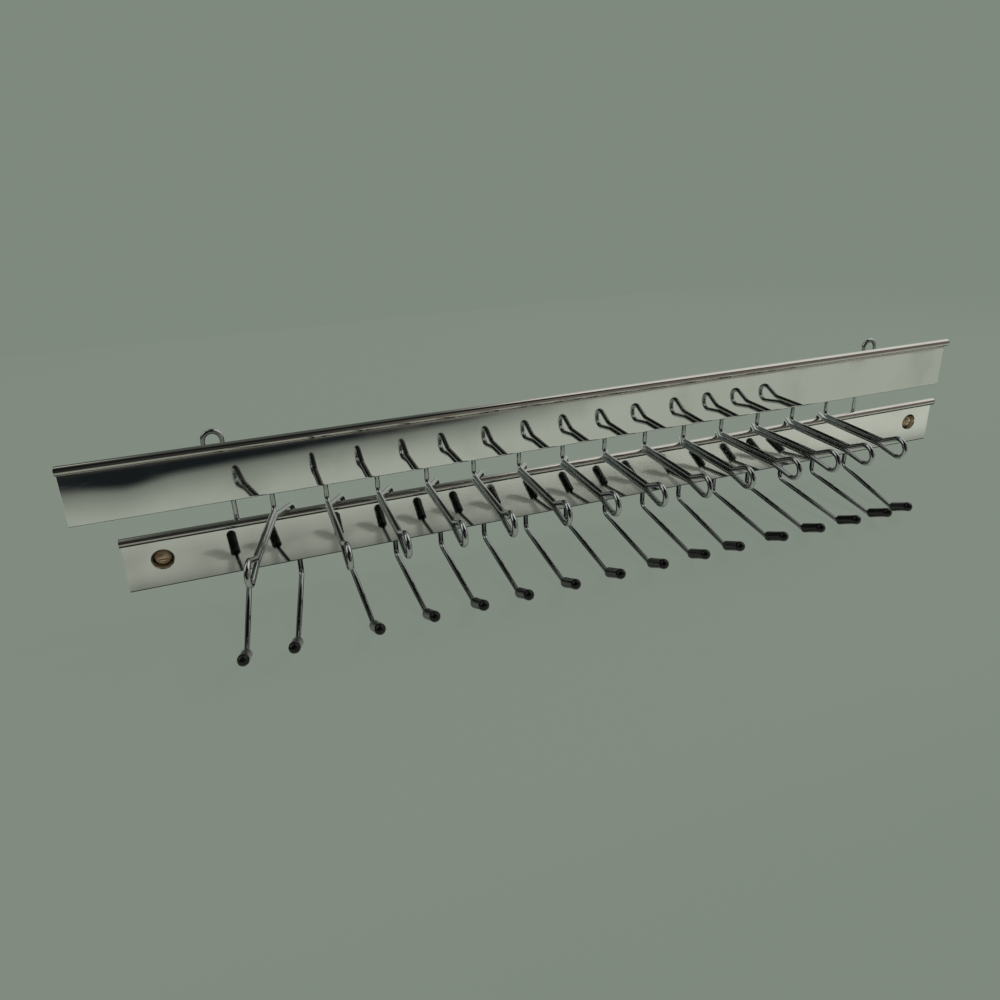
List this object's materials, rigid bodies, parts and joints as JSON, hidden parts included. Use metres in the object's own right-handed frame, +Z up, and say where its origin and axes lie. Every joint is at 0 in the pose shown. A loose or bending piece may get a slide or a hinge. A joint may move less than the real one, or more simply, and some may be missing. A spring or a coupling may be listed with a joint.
{
  "type": "tie rack",
  "caption": "Wall tie rack: two long chromed rails at different depths carry a row of bent wire loop hooks above a row of black-capped wire pegs.",
  "frame": {"origin": "on the wall plane, midway between the two screws of the lower rail", "axes": "+X along the rails to the viewer's right, +Y into the wall, +Z up"},
  "size_m": [0.471, 0.0895, 0.0848],
  "materials": {
    "chrome": "bright plated steel",
    "cap": "soft glossy vinyl",
    "screw": "aged, rubbed bright"
  },
  "bodies": {
    "root": {"upper_rail": "chrome", "lower_rail": "chrome", "loop_hook_01": "chrome", "loop_hook_02": "chrome", "loop_hook_03": "chrome", "loop_hook_04": "chrome", "loop_hook_05": "chrome", "loop_hook_06": "chrome", "loop_hook_07": "chrome", "loop_hook_08": "chrome", "loop_hook_09": "chrome", "loop_hook_10": "chrome", "loop_hook_11": "chrome", "loop_hook_12": "chrome", "loop_hook_13": "chrome", "loop_hook_14": "chrome", "hanger_left": "chrome", "hanger_right": "chrome", "peg_cap_01": "cap", "peg_cap_02": "cap", "peg_cap_03": "cap", "peg_cap_04": "cap", "peg_cap_05": "cap", "peg_cap_06": "cap", "peg_cap_07": "cap", "peg_cap_08": "cap", "peg_cap_09": "cap", "peg_cap_10": "cap", "peg_cap_11": "cap", "peg_cap_12": "cap", "peg_cap_13": "cap", "peg_cap_14": "cap", "peg_cap_15": "cap", "peg_cap_16": "cap", "screw_left": "screw", "screw_right": "screw"}
  },
  "joints": []
}
